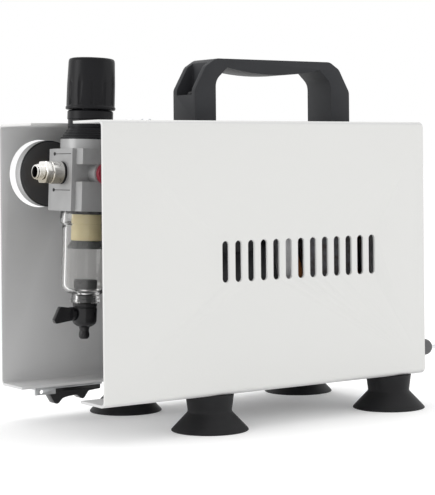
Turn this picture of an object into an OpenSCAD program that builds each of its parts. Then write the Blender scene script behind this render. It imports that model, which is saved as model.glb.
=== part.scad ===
// Oil-free airbrush compressor in a folded sheet-steel casing.
// Length along X, the open end with the pressure regulator at -X.
// Depth along Y, front panel at -Y. Height along Z, suction feet on z = 0.

/* [Casing] */
// Length of the folded casing
casing_l = 254; // [250:1:262]
// Depth of the casing, front panel to rear panel
casing_d = 131; // [128:1:134]
// Height of the casing without its feet
casing_h = 171; // [168:1:176]
// Thickness of the sheet steel
sheet_t = 1.6; // [1.2:0.1:2]
// Width of the flanges folded in along the bottom
flange_w = 28.5; // [26:0.5:30]

/* [Feet] */
// Height of a suction foot
foot_h = 23; // [21:1:26]
// Radius of the foot's lip
foot_lip_r = 24.4; // [20:0.2:26]
// Distance of the feet's axes from the front and rear faces
foot_in = 15.5; // [14:0.5:17]
// Distance of the left feet from the casing's open end
foot_left = 86; // [84:1:90]
// Distance between the left and right feet
foot_pitch = 148.5; // [140:0.5:150]

/* [Handle] */
// Overall length of the handle
handle_l = 130.5; // [126:0.5:134]
// Width of the handle across the casing
handle_w = 26; // [22:1:30]
// Height of the handle above the casing
handle_h = 42.5; // [40:0.5:46]

/* [Regulator] */
// Distance of the regulator's axis from the open end
reg_in = 29; // [28:1:31]
// Angle by which the regulator leans on its bracket
reg_lean = 2.5; // [0:0.5:3]
// Distance between the faces of the two ports
port_span = 39; // [38:0.5:41]
// Radius of the adjusting knob's skirt
knob_r = 15.8; // [15:0.2:16.2]
// Radius of the hole in the rear panel for the gauge
gauge_hole_r = 22.4; // [22:0.2:24]

/* [Pump] */
// Throw of the eccentric, half of the diaphragm's stroke
throw = 2.5; // [1.5:0.1:2.6]
// Size of the square motor laminations
motor_w = 84; // [80:1:86]

/* [Hidden] */
$fn = 64;
eps = 0.01;
nipple_r = 4.86;     // 1/8 inch pipe thread
nipple_chamfer = 0.7;
seal_t = 1.2;
collar_l = 8;
hex_l = 5;
shank_l = 5;
nipple_reach = port_span / 2 + seal_t + collar_l + hex_l + shank_l;
nipple_out = nipple_reach * cos(reg_lean) + (nipple_r - nipple_chamfer) * sin(reg_lean) - reg_in;
switch_pivot = 6.5;  // beyond the closed end
switch_tilt = 11;
switch_len = 15.5;
switch_out = switch_pivot + switch_len * cos(switch_tilt);
x0 = nipple_out - (casing_l + nipple_out + switch_out) / 2;   // open end of the casing
x1 = x0 + casing_l;  // closed end of the casing
y0 = -casing_d / 2;  // front
y1 = casing_d / 2;   // rear
z0 = foot_h;         // underside of the casing
z1 = foot_h + casing_h;
bend_r = 4.2;        // outside radius of every fold
foot_x = [x0 + foot_left, x0 + foot_left + foot_pitch];
foot_y = [y0 + foot_in, y1 - foot_in];
bolt_r = 2;          // M4 screws
hole_r = 2.2;        // clearance hole for M4

// handle
handle_x = x0 + 167.75;
handle_leg = 16.6;   // length of one leg along X
pocket_w = 17.6;     // screw pocket in each end of the handle
pocket_z = 18.5;     // floor of the pocket above the casing
handle_screw_x = handle_l / 2 - 7;

// ventilation slots in the front panel
vent_n = 13;
vent_x = x0 + 88.5;
vent_pitch = 9.9;
vent_z = z0 + 83;
vent_h = 26;
vent_r = 2.6;

// regulator
reg_x = x0 + reg_in;
port_z = z0 + 138.5;
port_x = port_span / 2;
body_hw = 16.8;      // half width of the main block along X
body_hd = 21;        // half depth of the main block along Y
boss_hd = 12.6;      // half width of the port bosses along Y
waist_h = 10.8;
gauge_boss_r = 8.2;
body_top = 15.2;     // heights from the port axis
body_bot = -23.8;
ring_top = 21.3;
cone_top = 29;
neck_top = 39.8;
knob_base = 40.4;
knob_top = 73;
bowl_end = -81.6;
chamber_r = 14;
cavity_r = 11;       // inside the bonnet
cavity_top = 35;
diaphragm_z = 14;
spring_z = 17.35;    // lower end of the range spring
spring_wire_r = 1.05;
seat_z = 27;
poppet_seat_z = -13.8;

// gauge
gauge_r = 21.8;
gauge_back = y1 - 15.9;
gauge_front = y1 - 7.9;

// drain
lever_z = -88.5;

// power switch and cord gland in the end plate
switch_y = y0 + 9.5;
switch_z = z0 + 16.5;
gland_y = 40;
gland_z = z0 + 22;
gland_bore_r = 3.5;
end_x = x1 - sheet_t;

// pump and motor
rod_x = x0 + 118;
axis_z = 86;
case_l = 45;         // crankcase, from its left face to the motor's bell
bell_a = rod_x - 13 + case_l;   // left bell, its plate's left face
bell_t = 8;
stator_x = bell_a + bell_t + 16;
stator_l = 36;
bell_b = stator_x + stator_l + 16;   // right bell, its plate's left face
shaft_r = 4.95;
bearing_r = 11;
rod_bearing_r = 13;
bolt_pos = motor_w / 2 - 6;
plate_top = z0 + sheet_t + 2;
mount_h = 10;
leg_z = plate_top + mount_h;
leg_t = 4;
case_top = axis_z + 46;
dia_t = 2;
valve_z = case_top + dia_t;
valve_t = 10;
head_z = valve_z + valve_t;
head_h = 20;
head_w = 60;
head_bolt = 24.5;
outlet_z = head_z + 8;
ecc_r = 9;
rod_ring_r = 19;
run_gap = 0.05;
dia_hole_r = 18.4;   // the membrane's centre is left out, so the rod can orbit
clamp_r = 13.5;

// ---------- helpers ----------

// One corner of an outline, replaced by an arc of the given radius.
function corner(a, p, b, r, n = 6) =
  let (u = (a - p) / norm(a - p), v = (b - p) / norm(b - p),
       half = acos(u * v) / 2, run = r / tan(half),
       mid = (u + v) / norm(u + v), c = p + mid * r / sin(half),
       s = p + u * run, e = p + v * run,
       s_ang = atan2(s[1] - c[1], s[0] - c[0]), e_ang = atan2(e[1] - c[1], e[0] - c[0]),
       turn = (e_ang - s_ang + 540) % 360 - 180)
  r == 0 ? [p] : [for (i = [0 : n]) c + r * [cos(s_ang + turn * i / n), sin(s_ang + turn * i / n)]];

// An outline of [x, y, radius] points with every corner rounded.
function rounded(pts) =
  let (n = len(pts), q = [for (p = pts) [p[0], p[1]]])
  [for (i = [0 : n - 1]) each corner(q[(i + n - 1) % n], q[i], q[(i + 1) % n], pts[i][2])];

// Lays an extrusion of a Y-Z outline along X.
module along_x(length) { rotate([90, 0, 90]) linear_extrude(length) children(); }

// Lays an extrusion of an X-Z outline along Y, from y = 0 towards +Y.
module along_y(length) { mirror([0, 1, 0]) rotate([90, 0, 0]) linear_extrude(length) children(); }

module rod_x(r, length) { rotate([0, 90, 0]) cylinder(r = r, h = length); }
module rod_y(r, length) { rotate([-90, 0, 0]) cylinder(r = r, h = length); }
module rod_z(r, length) { cylinder(r = r, h = length); }
module hex_x(flats, length) { rotate([0, 90, 0]) cylinder(r = flats / sqrt(3), h = length, $fn = 6); }

module tube_z(r_out, r_in, length) {
  difference() {
    cylinder(r = r_out, h = length);
    translate([0, 0, -1]) cylinder(r = r_in, h = length + 2);
  }
}

// Pan-head screw, its head upwards, with a hexagon socket; its shank hangs from z = 0.
module pan_screw(shank) {
  difference() {
    union() {
      cylinder(r = 3.6, h = 1.4);
      translate([0, 0, 1.4]) cylinder(r1 = 3.6, r2 = 2.6, h = 0.9);
      translate([0, 0, -shank]) cylinder(r = bolt_r, h = shank + eps);
    }
    translate([0, 0, 0.9]) cylinder(r = 1.5, h = 3, $fn = 6);
  }
}

module at_feet() {
  for (x = foot_x, y = foot_y) translate([x, y, 0]) children();
}

module at_corners(half) {
  for (a = [-1, 1], b = [-1, 1]) translate([a * half, b * half]) children();
}

// ---------- casing ----------

module fold(x, y, sx, sy) {
  translate([x, y]) intersection() {
    difference() {
      circle(r = bend_r);
      circle(r = bend_r - sheet_t);
    }
    translate([sx > 0 ? 0 : -bend_r, sy > 0 ? 0 : -bend_r]) square(bend_r);
  }
}

module casing_outline() {
  straight = casing_h - 2 * bend_r;
  for (s = [-1, 1]) {
    panel_y = s > 0 ? y1 - sheet_t : y0;
    flange_y = s > 0 ? y1 - flange_w : y0 + bend_r;
    translate([panel_y, z0 + bend_r]) square([sheet_t, straight]);
    translate([flange_y, z0]) square([flange_w - bend_r, sheet_t]);
    fold(s * (y1 - bend_r), z1 - bend_r, s, 1);
    fold(s * (y1 - bend_r), z0 + bend_r, s, -1);
  }
  translate([y0 + bend_r, z1 - sheet_t]) square([casing_d - 2 * bend_r, sheet_t]);
}

module slot(r, h) {
  translate([-r, -h / 2 + r]) square([2 * r, h - 2 * r]);
  for (s = [-1, 1]) translate([0, s * (h / 2 - r)]) circle(r = r);
}

module end_screw_places() {
  for (z = [z0 + 52, z1 - 36]) translate([x1 - 8, y1, z]) rotate([-90, 0, 0]) children();
}

module casing() color("whitesmoke") difference() {
  translate([x0, 0, 0]) along_x(casing_l) casing_outline();
  // clearance notch for the regulator, open towards the end
  translate([x0 - 20, -31, z1 - 10]) linear_extrude(20)
    offset(r = 8) offset(delta = -8) square([reg_in + 42, 53]);
  // gauge window in the rear panel
  translate([reg_x, y1 - 10, port_z]) rod_y(gauge_hole_r, 20);
  // ventilation slots in the front panel
  for (i = [0 : vent_n - 1])
    translate([vent_x + i * vent_pitch, y0 - 1, vent_z]) along_y(4) slot(vent_r, vent_h);
  for (s = [-1, 1])
    translate([handle_x + s * handle_screw_x, 0, z1 - 10]) rod_z(hole_r, 20);
  translate([0, 0, z0 - 1]) at_feet() rod_z(hole_r, 6);
  for (s = [-1, 1]) translate([reg_x + 37, s * 10, z1 - 10]) rod_z(hole_r, 20);
  end_screw_places() translate([0, 0, -5]) rod_z(hole_r, 10);
}

// ---------- closed end ----------

module fan_grille() {
  bar = 7.5;
  for (i = [-4 : 4])
    let (half = sqrt(pow(37, 2) - pow(i * bar, 2)))
      translate([i * bar, 0]) slot(1.9, 2 * half);
}

module end_plate() color("whitesmoke") {
  gap = 0.4;
  in_y = y1 - sheet_t - gap;
  low = z0 + sheet_t + gap;
  high = z1 - sheet_t - gap;
  difference() {
    union() {
      translate([end_x, 0, 0]) along_x(sheet_t) difference() {
        translate([-in_y, low]) offset(r = bend_r) offset(delta = -bend_r) square([2 * in_y, high - low]);
        translate([0, axis_z]) rotate(90) fan_grille();
        translate([switch_y, switch_z]) circle(r = 3.1);
        translate([gland_y, gland_z]) circle(r = 6.1);
      }
      // lugs folded back along the two panels; the front pair only locates the plate
      for (s = [-1, 1], z = [z0 + 52, z1 - 36])
        translate([x1 - 15, s > 0 ? in_y - sheet_t : -in_y, z - 8]) cube([15 - eps, sheet_t, 16]);
    }
    end_screw_places() translate([0, 0, -8]) rod_z(bolt_r + run_gap, 16);
  }
}

// The same short screw holds the end plate and the regulator's bracket.
module panel_screws() color("silver") {
  end_screw_places() pan_screw(6);
  for (s = [-1, 1]) translate([reg_x + 37, s * 10, z1]) pan_screw(6);
}

// ---------- handle ----------

module handle_outline() {
  half = handle_l / 2;
  inner = half - handle_leg;
  under_n = 12;
  under = [for (i = [0 : under_n])
    let (u = 39 - 78 * i / under_n) [-u, 32.6 + 4.2 * pow(u / 39, 2), 0]];
  polygon(rounded(concat(
    [[-half, 0, 0], [-half, 22, 6], [-half + 9, 37.5, 6], [-half + 17, handle_h, 8],
     [half - 17, handle_h, 8], [half - 9, 37.5, 6], [half, 22, 6], [half, 0, 0],
     [inner, 0, 0], [inner, 28, 9]],
    [for (i = [under_n : -1 : 0]) under[i]],
    [[-inner, 28, 9], [-inner, 0, 0]])));
}

module handle() color([0.16, 0.17, 0.18]) difference() {
  translate([handle_x, -handle_w / 2, z1]) along_y(handle_w) handle_outline();
  for (s = [-1, 1]) {
    // screw pocket, open at the end face and along the slope
    translate([handle_x + s * (handle_l / 2 - 6) - 7, -pocket_w / 2, z1 + pocket_z])
      cube([14, pocket_w, 22]);
    translate([handle_x + s * handle_screw_x, 0, z1 - 1]) rod_z(hole_r, 30);
  }
}

module handle_screws() color([0.15, 0.15, 0.15]) {
  for (s = [-1, 1]) translate([handle_x + s * handle_screw_x, 0, z1 + pocket_z]) pan_screw(26);
}

module handle_nuts() color("silver") {
  for (s = [-1, 1])
    translate([handle_x + s * handle_screw_x, 0, z1 - sheet_t - 4.2]) difference() {
      union() {
        cylinder(r = 4.05, h = 3.2, $fn = 6);
        translate([0, 0, 3.2]) cylinder(r = 4.6, h = 1);
      }
      translate([0, 0, -1]) cylinder(r = bolt_r, h = 8);
    }
}

// ---------- feet and base ----------

// Suction foot: a waisted stem on a flared cup with a thin lip.
module foot() color([0.12, 0.12, 0.13]) difference() {
  rotate_extrude() polygon([
    [0, 5], [13, 3.2], [foot_lip_r - 2.2, 0], [foot_lip_r, 0], [foot_lip_r, 1.2],
    [14.1, 11.4], [14, 12.6], [15.4, foot_h], [0, foot_h]]);
  translate([0, 0, foot_h - 12]) cylinder(r = bolt_r, h = 13);
}

module foot_front_left() { translate([foot_x[0], foot_y[0], 0]) foot(); }
module foot_front_right() { translate([foot_x[1], foot_y[0], 0]) foot(); }
module foot_rear_left() { translate([foot_x[0], foot_y[1], 0]) foot(); }
module foot_rear_right() { translate([foot_x[1], foot_y[1], 0]) foot(); }

module foot_screws() color("silver") {
  translate([0, 0, plate_top]) at_feet() pan_screw(plate_top - foot_h + 11.5);
}

module leg_places() {
  for (x = [rod_x - 4, bell_b + 2], s = [-1, 1]) translate([x, s * 30, 0]) children();
}

module base_plate() color("gainsboro") {
  difference() {
    union() {
      translate([foot_x[0] - 10, y0 + 6, z0 + sheet_t])
        cube([foot_pitch + 20, casing_d - 12, plate_top - z0 - sheet_t]);
      translate([0, 0, plate_top - eps]) leg_places() rod_z(7, mount_h);
    }
    translate([0, 0, z0]) at_feet() rod_z(hole_r, 6);
    translate([foot_x[0] + 24, -22, z0]) cube([foot_pitch - 48, 44, 8]);
  }
}

// ---------- hook under the rear flange ----------

flange_edge = y1 - flange_w;

// Plated tab welded along the flange, with a small hole in its hanging end.
module hook_plate() color("silver") difference() {
  union() {
    translate([x0 + 9.5, flange_edge, z0 - 4.6]) cube([15, 1.2, 4.6]);
    translate([x0 + 9.5, flange_edge, z0 - 1.2]) cube([50, 14, 1.2]);
  }
  translate([x0 + 14.2, flange_edge - 1, z0 - 2.7]) rod_y(1.4, 4);
}

// Moulded hook with a long and a short lip, under the tab.
module hose_hook() color([0.1, 0.1, 0.11]) {
  top = z0 - 1.2;
  translate([x0, flange_edge + 1.2, 0]) along_y(7) translate([0, top]) polygon(rounded([
    [18.5, 0, 0], [20, -2.4, 1], [25.7, -11.8, 2.4], [30.4, -7, 2], [35, -6.1, 3], [41, -5.6, 2],
    [45.8, -9.4, 2], [50, -3.8, 2], [59, -3, 0.8], [59, 0, 0]]));
}

// ---------- switch and gland ----------

module switch_body() color([0.75, 0.1, 0.08]) {
  translate([end_x - 16, switch_y - 6.3, switch_z - 6.3]) cube([16, 12.6, 12.6]);
  for (z = [-4, 0, 4]) translate([end_x - 21, switch_y - 2, switch_z + z - 0.4]) cube([5 + eps, 4, 0.8]);
  translate([end_x - eps, switch_y, switch_z]) difference() {
    rod_x(2.95, sheet_t + 8);
    translate([2, 0, 0]) rod_x(2.2, 20);
    translate([x1 + switch_pivot - end_x, 0, -4]) rod_z(0.85, 8);
  }
}

module switch_nut() color("silver") translate([x1, switch_y, switch_z]) difference() {
  hex_x(8, 2);
  translate([-1, 0, 0]) rod_x(2.95 + eps, 5);
}

// Domed rubber boot over the switch's neck, open at the top for the lever's swing.
module switch_boot() color([0.3, 0.3, 0.3]) translate([x1 + 2, switch_y, switch_z]) rotate([0, 90, 0])
  rotate_extrude() polygon(concat(
    [[3, 0], [5.5, 0], [5.5, 6]],
    [for (a = [9.5 : 9.5 : 57]) [5.5 * cos(a), 6 + 5.5 * sin(a)]],
    [[2.9, 10.6], [2.9, 6.8], [3, 6.8]]));

module switch_lever() color("silver") translate([x1 + switch_pivot, switch_y, switch_z]) {
  translate([0, 0, -2.8]) rod_z(0.8, 5.6);
  rotate([0, 0, -switch_tilt]) rotate([0, 90, 0]) rotate_extrude() polygon([
    [0, -1.6], [1, -1.2], [1.3, 0], [1.15, 4.5], [1.3, 6.5], [1.9, 11], [2.15, 13], [1.9, 14.4], [1.2, 15.2],
    [0, switch_len]]);
}

module cord_gland() color([0.12, 0.12, 0.12]) translate([end_x, gland_y, gland_z]) rotate([0, 90, 0])
  rotate_extrude() polygon([
    [gland_bore_r, -6], [5.9, -6], [6.6, -5], [6.6, -0.3], [6, 0], [6, sheet_t], [8, sheet_t],
    [8, sheet_t + 2], [6.4, sheet_t + 5], [5.6, sheet_t + 9], [gland_bore_r, sheet_t + 9]]);

// ---------- regulator ----------

// Everything on the regulator is drawn round its own axis, then leant.
module in_regulator() { translate([reg_x, 0, port_z]) rotate([0, reg_lean, 0]) children(); }

module regulator_body() color("silver") in_regulator() difference() {
  union() {
    difference() {
      union() {
        translate([-body_hw, -body_hd, body_bot]) cube([2 * body_hw, 2 * body_hd, body_top - body_bot]);
        translate([-port_x, -boss_hd, body_bot]) cube([port_span, 2 * boss_hd, body_top - body_bot]);
      }
      // waist round the block, level with the ports
      for (t = [-1, 1])
        translate([-body_hw - 1, t > 0 ? boss_hd : -body_hd - 1, -waist_h / 2])
          cube([2 * body_hw + 2, body_hd - boss_hd + 1, waist_h]);
    }
    translate([0, -body_hd, 0]) rod_y(gauge_boss_r, 2 * body_hd);
    translate([0, 0, body_top - eps]) rod_z(18.4, ring_top - body_top + eps);
  }
  // lower chamber, seat and upper chamber
  translate([0, 0, body_bot - 1]) rod_z(chamber_r, poppet_seat_z - body_bot + 1);
  translate([0, 0, poppet_seat_z - 1]) rod_z(4, 30);
  translate([0, 0, 12]) rod_z(15.4, 12);
  // ports
  for (s = [-1, 1]) {
    translate([s > 0 ? 3 : -port_x - 1, 0, 0]) rod_x(nipple_r, port_x - 2);
    translate([0, s > 0 ? 3 : -body_hd - 1, 0]) rod_y(4, body_hd - 2);
  }
}

module regulator_bonnet() color([0.1, 0.1, 0.11]) in_regulator() difference() {
  union() {
    // stepped cone
    for (i = [0 : 4]) {
      step_h = (cone_top - ring_top) / 5;
      r = 18.4 - i * 1.1;
      translate([0, 0, ring_top + i * step_h]) cylinder(r1 = r, r2 = r - 0.5, h = step_h + eps);
    }
    translate([0, 0, cone_top - eps]) rod_z(14, neck_top - cone_top);
    translate([0, 0, cone_top + 5.2]) rod_z(14.5, 5);
  }
  translate([0, 0, ring_top - 1]) rod_z(cavity_r, cavity_top - ring_top + 1);
  translate([0, 0, ring_top]) rod_z(5 + run_gap, 30);
}

// The screw turns in place and carries the nut up and down inside the bonnet.
module adjusting_screw() color([0.15, 0.15, 0.15]) in_regulator() {
  translate([0, 0, 21]) rod_z(3.5, 12);
  translate([0, 0, 32.4]) rod_z(8, 2.3);
  translate([0, 0, 34.6]) rod_z(5, 12);
  translate([0, 0, 44.8]) cylinder(r = 6, h = 16, $fn = 12);
}

module adjusting_knob() color([0.09, 0.09, 0.1]) in_regulator() difference() {
  translate([0, 0, knob_base]) rotate_extrude() polygon(rounded([
    [0, knob_top - knob_base, 0], [knob_r - 1.6, knob_top - knob_base, 2.6], [knob_r - 0.7, 8, 6],
    [knob_r - 0.5, 2.4, 0.6], [knob_r, 1.8, 0.3], [knob_r, 0.6, 0.3], [knob_r - 0.6, 0, 0.2],
    [knob_r - 2.2, 0, 0], [knob_r - 2.6, 4, 0], [0, 4, 0]]));
  // finger flutes in the lower half
  for (i = [0 : 11]) rotate(i * 30 + 8)
    translate([knob_r - 0.35, -0.7, knob_base - 1]) cube([2, 1.4, 18]);
  translate([0, 0, knob_base + 3]) cylinder(r = 6.1, h = 19, $fn = 12);
}

// Coil spring, drawn as closed turns with short risers between them.
module range_spring() color("dimgray") in_regulator() {
  turns = 4;
  rise = 2.5;
  for (i = [0 : turns - 1]) translate([0, 0, spring_z + spring_wire_r + i * rise])
    rotate_extrude() translate([7.6, 0]) circle(r = spring_wire_r, $fn = 24);
  for (i = [0 : turns - 2]) translate([7.6, 0, spring_z + spring_wire_r + i * rise]) rod_z(0.8, rise);
}

module spring_seat() color("goldenrod") in_regulator() difference() {
  translate([0, 0, seat_z]) rod_z(9.6, 3);
  translate([0, 0, seat_z - 1]) rod_z(3.5 + run_gap, 5);
}

module regulator_diaphragm() color([0.2, 0.2, 0.2]) in_regulator() {
  translate([0, 0, diaphragm_z]) rod_z(15.4, 1.4);
  translate([0, 0, diaphragm_z + 1.4 - eps]) rod_z(9.4, 1.9);
}

module regulator_poppet() color("goldenrod") in_regulator() {
  translate([0, 0, poppet_seat_z - 3.05]) rod_z(5.6, 3);
  translate([0, 0, poppet_seat_z - 0.1]) rod_z(1.6, 25);
}

module regulator_bracket() color("gainsboro") difference() {
  foot_z = z1 - sheet_t - 2;
  union() {
    in_regulator() translate([port_x, -12, -12]) cube([2, 24, foot_z - port_z + 14]);
    translate([reg_x + port_x + 1.5, -16, foot_z]) cube([24, 32, 2]);
  }
  in_regulator() translate([port_x - 1, 0, 0]) rod_x(5.2, 5);
  for (s = [-1, 1]) translate([reg_x + 37, s * 10, foot_z - 1]) rod_z(bolt_r, 4);
}

// Plug in the unused front gauge port.
module port_plug() color([0.45, 0.07, 0.1]) in_regulator() difference() {
  union() {
    translate([0, -body_hd - eps, 0]) rod_y(4, 8);
    translate([0, -body_hd - 3, 0]) rod_y(7.2, 3);
  }
  translate([0, -body_hd - 4, 0]) rotate([-90, 0, 0]) cylinder(r = 2.9, h = 4, $fn = 6);
}

module outlet_seal() color([0.07, 0.07, 0.07]) in_regulator() difference() {
  translate([-port_x - seal_t, 0, 0]) rod_x(7.1, seal_t);
  translate([-port_x - seal_t - 1, 0, 0]) rod_x(nipple_r, 5);
}

// Nickel-plated male nipple: collar, hexagon and threaded shank in one piece.
module outlet_nipple() color("gainsboro") in_regulator() difference() {
  union() {
    translate([-nipple_reach, 0, 0]) rotate([0, 90, 0])
      cylinder(r1 = nipple_r - nipple_chamfer, r2 = nipple_r, h = nipple_chamfer);
    translate([nipple_chamfer - nipple_reach - eps, 0, 0]) rod_x(nipple_r, shank_l);
    translate([shank_l - nipple_reach, 0, 0]) hex_x(13.6, hex_l);
    translate([-port_x - seal_t - collar_l, 0, 0]) rod_x(7.15, collar_l);
    translate([-port_x - seal_t - eps, 0, 0]) rod_x(nipple_r, 9);
  }
  translate([-nipple_reach - 1, 0, 0]) rod_x(2.4, 40);
  translate([-nipple_reach - eps, 0, 0]) rotate([0, 90, 0]) cylinder(r1 = 3.5, r2 = 2.4, h = 2.4);
}

module filter_element() color("tan") in_regulator() translate([0, 0, body_bot - 18.6])
  tube_z(10, 6.5, 18.6 - eps);

// Flared baffle under the filter, hung from the chamber by a stud and a cross.
module filter_baffle() color([0.2, 0.22, 0.21]) in_regulator() {
  translate([0, 0, body_bot - 23.6]) rotate_extrude() polygon([
    [0, 0], [12.4, 0], [12.4, 1.2], [9.6, 5], [0, 5]]);
  translate([0, 0, body_bot - 20]) rod_z(2.4, 23);
  for (a = [0, 90]) rotate(a) translate([-13.4, -2, body_bot + 1]) cube([26.8, 4, 2]);
}

module filter_bowl() color([0.85, 0.9, 0.92], 0.35) in_regulator() rotate_extrude() polygon(concat(
  [[14.6, body_bot], [17.2, body_bot], [17.2, -31.4], [15.7, -32.4], [15.4, -69.6]],
  [for (a = [-10 : -20 : -70]) [10.2 + 5.2 * cos(a), -69.6 + 5.8 * sin(a)]],
  [[9.6, -75.9], [8.7, -76.8], [8.9, -78.6], [9.4, -79.4], [9.3, -81.2], [8.6, bowl_end], [5.2, bowl_end],
   [5.2, -74.4], [8, -73]],
  [for (a = [-60 : 20 : 0]) [8.9 + 4.2 * cos(a), -69.6 + 4.2 * sin(a)]],
  [[13.3, -33.4], [14.6, -30]]));

module bowl_seal() color([0.08, 0.08, 0.08]) in_regulator() translate([0, 0, body_bot - 2.2])
  tube_z(14.55, 12.6, 2.2 - eps);

module drain_body() color([0.09, 0.09, 0.1]) in_regulator() difference() {
  union() {
    translate([0, 0, -73.4]) rod_z(7.4, 6.4);
    translate([0, 0, bowl_end - 1]) rod_z(5.1, 9.4);
    translate([0, 0, -93]) rod_z(7.75, 93 + bowl_end);
    rotate_extrude() polygon([
      [0, -93 + eps], [7.75, -93 + eps], [7, -94.7], [5, -96.2], [3.4, -96.9], [3, -98.4], [3.05, -99.8],
      [3.4, -101.4], [3.3, -103], [2.4, -104.2], [0, -104.2]]);
  }
  translate([0, 0, -106]) rod_z(1.4, 50);
  translate([-9, 0, lever_z]) rod_x(3.05, 14);
}

// Tapered plug with a wing grip; a quarter turn opens the drain.
module drain_lever() color([0.07, 0.07, 0.08]) in_regulator() {
  difference() {
    translate([-9, 0, lever_z]) rod_x(3, 13.6);
    translate([0, 0, lever_z - 5]) rod_z(1.2, 10);
  }
  translate([-10.6, 0, lever_z]) rod_x(4.4, 2.4);
  translate([-9.5, 1.5, lever_z]) rotate([0, 0, 180]) along_y(3) polygon(rounded([
    [0, -4, 0], [0, 3.8, 0], [9, 4.8, 1.2], [13, -3.6, 0.8], [11.6, -5.9, 0.8]]));
}

// ---------- gauge ----------

module gauge_stem() color("goldenrod") in_regulator() difference() {
  union() {
    translate([0, 12.6, 0]) rod_y(4, gauge_back - 12.6);
    translate([0, body_hd + 3, 0]) rotate([-90, 0, 0])
      cylinder(r = 6.9, h = gauge_back - body_hd - 3, $fn = 6);
    translate([0, body_hd, 0]) rod_y(5.4, 3 + eps);
  }
  translate([0, 11, 0]) rod_y(1.2, 60);
}

module gauge_case() color([0.13, 0.13, 0.14]) in_regulator() difference() {
  translate([0, gauge_back, 0]) rotate([-90, 0, 0]) rotate_extrude() polygon([
    [0, 0], [gauge_r - 0.8, 0], [gauge_r, 0.8],
    [gauge_r, gauge_front - gauge_back], [0, gauge_front - gauge_back]]);
  translate([0, gauge_back + 2.4, 0]) rod_y(gauge_r - 1.8, 40);
}

module gauge_dial() color("white") in_regulator() difference() {
  translate([0, gauge_front - 5.6, 0]) rod_y(gauge_r - 1.8, 0.8);
  translate([0, gauge_front - 8, 0]) rod_y(0.78, 8);
}

// At rest the needle points down and to the left, as read from the rear.
module gauge_needle() color([0.1, 0.1, 0.1]) in_regulator() translate([0, gauge_front - 3.8, 0]) {
  rod_y(1.9, 1.2);
  translate([0, -1.7, 0]) rod_y(0.7, 2);
  rotate([0, 135, 0]) along_y(0.6) polygon([[-1, -5], [1, -5], [0.5, 14.5], [0, 15.8], [-0.5, 14.5]]);
}

module gauge_lens() color([0.9, 0.95, 0.97], 0.3) in_regulator() translate([0, gauge_front - 1.7, 0])
  rod_y(gauge_r - 1.8, 1.3);

// ---------- air line ----------

hose_r = 3.6;
fitting_l = 10.5;
hose_a = [reg_x + (port_x + fitting_l) * cos(reg_lean), port_z - (port_x + fitting_l) * sin(reg_lean)];
hose_b = [rod_x - head_w / 2 - fitting_l + 2, outlet_z];

// Drawn along +X from the face of the part it screws into.
module hose_fitting(stub) {
  difference() {
    union() {
      translate([-stub, 0, 0]) rod_x(4, stub + eps);
      hex_x(12, 3.5);
      translate([3.5 - eps, 0, 0]) rod_x(4.6, fitting_l - 2 - 3.5 + eps);
    }
    translate([-stub - 1, 0, 0]) rod_x(2, 30);
  }
}

module hose_fittings() color("gainsboro") {
  in_regulator() translate([port_x + 2, 0, 0]) hose_fitting(10);
  translate([rod_x - head_w / 2, 0, outlet_z]) mirror([1, 0, 0]) hose_fitting(10);
}

// Braided hose along a cubic curve that leaves each fitting straight.
function hose_at(t) = let (reach = 11, u = 1 - t,
    p1 = hose_a + reach * [cos(reg_lean), -sin(reg_lean)], p2 = hose_b - [reach, 0])
  u * u * u * hose_a + 3 * u * u * t * p1 + 3 * u * t * t * p2 + t * t * t * hose_b;
function hose_dir(t) = let (d = hose_at(t + 0.001) - hose_at(t - 0.001)) d / norm(d);

module discharge_hose() color([0.15, 0.15, 0.16]) {
  sides = 12;
  rings = 14;
  points = [for (i = [0 : rings]) let (t = i / rings, c = hose_at(t), d = hose_dir(t))
    for (k = [0 : sides - 1]) let (a = k * 360 / sides)
      [c[0] - hose_r * cos(a) * d[1], hose_r * sin(a), c[1] + hose_r * cos(a) * d[0]]];
  polyhedron(points = points, faces = concat(
    [[for (k = [0 : sides - 1]) k]],
    [for (i = [0 : rings - 1], k = [0 : sides - 1]) let (n = (k + 1) % sides, b = i * sides)
      [b + k, b + sides + k, b + sides + n, b + n]],
    [[for (k = [sides - 1 : -1 : 0]) rings * sides + k]]));
}

// ---------- pump ----------

module in_pump() { translate([rod_x, 0, 0]) children(); }

module head_square(h) {
  translate([-head_w / 2, -head_w / 2, 0]) cube([head_w, head_w, h]);
}

module pump_head() color([0.16, 0.16, 0.17]) in_pump() difference() {
  translate([0, 0, head_z]) head_square(head_h);
  // cooling fins on top
  for (i = [-4 : 4]) if (abs(i) > 0)
    translate([-head_w / 2 - 1, i * 6 - 1.6, head_z + head_h - 8]) cube([head_w + 2, 3.2, 9]);
  for (s = [-1, 1]) translate([s * 12, 0, head_z - 1]) rod_z(8, 10);
  translate([-head_w / 2 - 1, 0, outlet_z]) rod_x(4 + eps, 14);
  translate([8, 0, outlet_z]) rod_x(3, 30);
  translate([0, 0, head_z - 1]) at_corners(head_bolt) rod_z(hole_r, 40);
}

module head_screws() color("silver") in_pump() {
  translate([0, 0, head_z + head_h]) at_corners(head_bolt) pan_screw(48);
}

module valve_plate() color("silver") in_pump() difference() {
  translate([0, 0, valve_z]) head_square(valve_t - eps);
  translate([0, 0, valve_z - 1]) cylinder(r1 = 22.4, r2 = 20, h = 7.2);
  for (s = [-1, 1]) translate([s * 12, 0, valve_z]) rod_z(2, 20);
  translate([0, 0, valve_z - 1]) at_corners(head_bolt) rod_z(hole_r, 40);
}

module pump_diaphragm() color([0.15, 0.15, 0.15]) in_pump() translate([0, 0, case_top])
  tube_z(28, dia_hole_r, dia_t - eps);

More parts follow.
